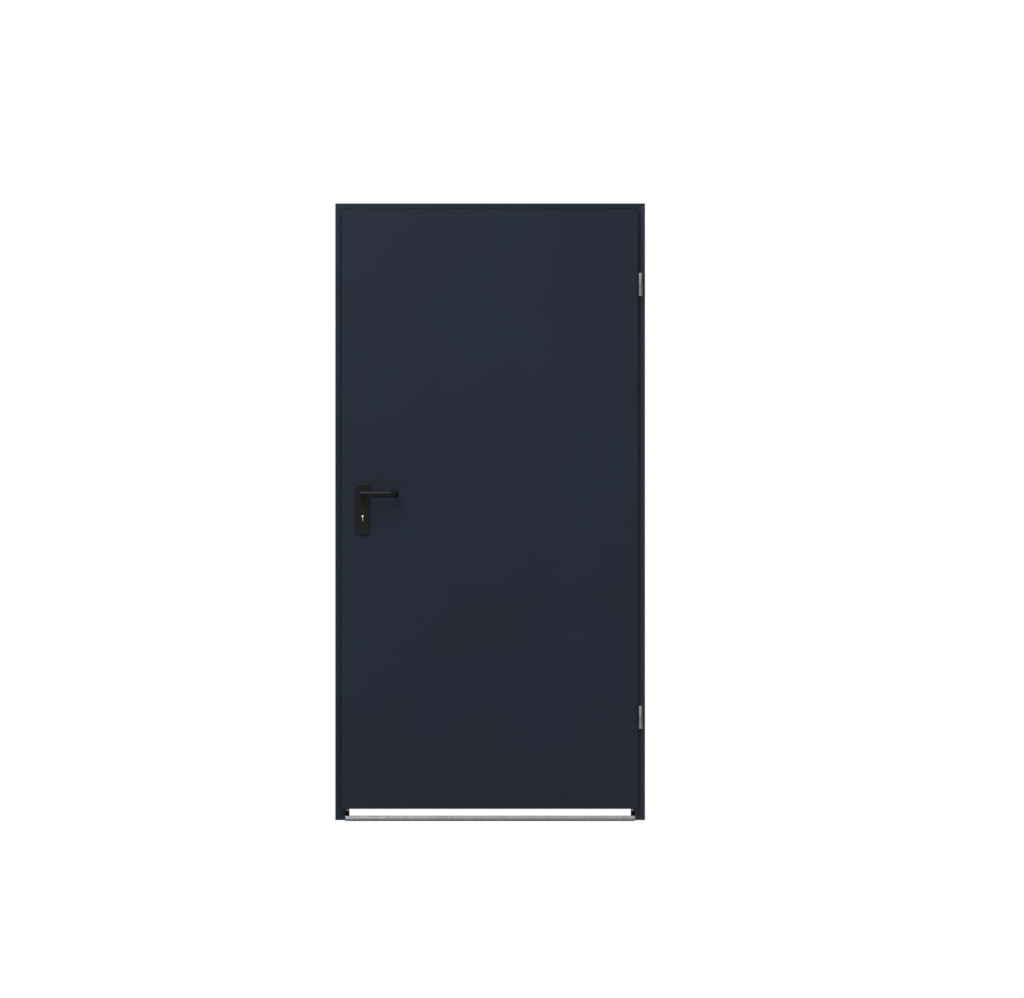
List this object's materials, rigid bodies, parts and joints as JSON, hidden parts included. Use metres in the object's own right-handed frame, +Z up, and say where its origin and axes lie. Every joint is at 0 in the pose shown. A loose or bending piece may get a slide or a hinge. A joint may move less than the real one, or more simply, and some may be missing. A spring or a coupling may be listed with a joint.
{
  "type": "steel service door",
  "caption": "Rebated steel door leaf hung on barrel hinges in a folded corner frame, with lever handles, a keyhole and a floor bar.",
  "frame": {"origin": "middle of the floor bar's underside on the raw floor, in the plane of the wall's front face", "axes": "+Z up, +X to the right as seen from the opening side, +Y into the wall"},
  "size_m": [1.024, 0.2078, 2.042],
  "materials": {
    "leaf_paint": "satin",
    "frame_paint": "satin",
    "seal_rubber": "matte",
    "galvanised_steel": "satin",
    "bare_steel": "satin",
    "black_plastic": "satin",
    "core_board": "matte"
  },
  "bodies": {
    "frame": {"hinge_jamb": "frame_paint", "lock_jamb": "frame_paint", "frame_head": "frame_paint", "hinge_side_seal": "seal_rubber", "lock_side_seal": "seal_rubber", "head_seal": "seal_rubber", "floor_bar": "galvanised_steel", "hinge_side_anchors": "galvanised_steel", "lock_side_anchors": "galvanised_steel", "lower_hinge_frame_part": "galvanised_steel", "lower_hinge_pin": "bare_steel", "lower_hinge_pocket": "galvanised_steel", "upper_hinge_frame_part": "galvanised_steel", "upper_hinge_pin": "bare_steel", "upper_hinge_pocket": "galvanised_steel", "keep_box": "galvanised_steel"},
    "leaf": {"leaf_front_skin": "leaf_paint", "leaf_back_skin": "leaf_paint", "leaf_core": "core_board", "leaf_foot_rail": "bare_steel", "lock_case": "bare_steel", "lock_faceplate": "bare_steel", "latch_bolt": "bare_steel", "dead_bolt": "bare_steel", "front_handle_plate": "black_plastic", "back_handle_plate": "black_plastic", "lower_hinge_leaf_part": "galvanised_steel", "upper_hinge_leaf_part": "galvanised_steel"},
    "lever_set": {"front_lever": "black_plastic", "back_lever": "black_plastic", "spindle": "bare_steel"}
  },
  "joints": [
    {"name": "leaf_swing", "type": "hinge", "parent": "frame", "child": "leaf", "pos_m": [0.4965, -0.036, 1.0575], "axis": [0, 0, 1], "range_deg": [0, 175]},
    {"name": "lever_turn", "type": "hinge", "parent": "leaf", "child": "lever_set", "pos_m": [-0.422, -0.01, 1.08], "axis": [0, 1, 0], "range_deg": [0, 40], "stiffness_Nm_per_rad": 2, "springref_deg": -17.19}
  ]
}
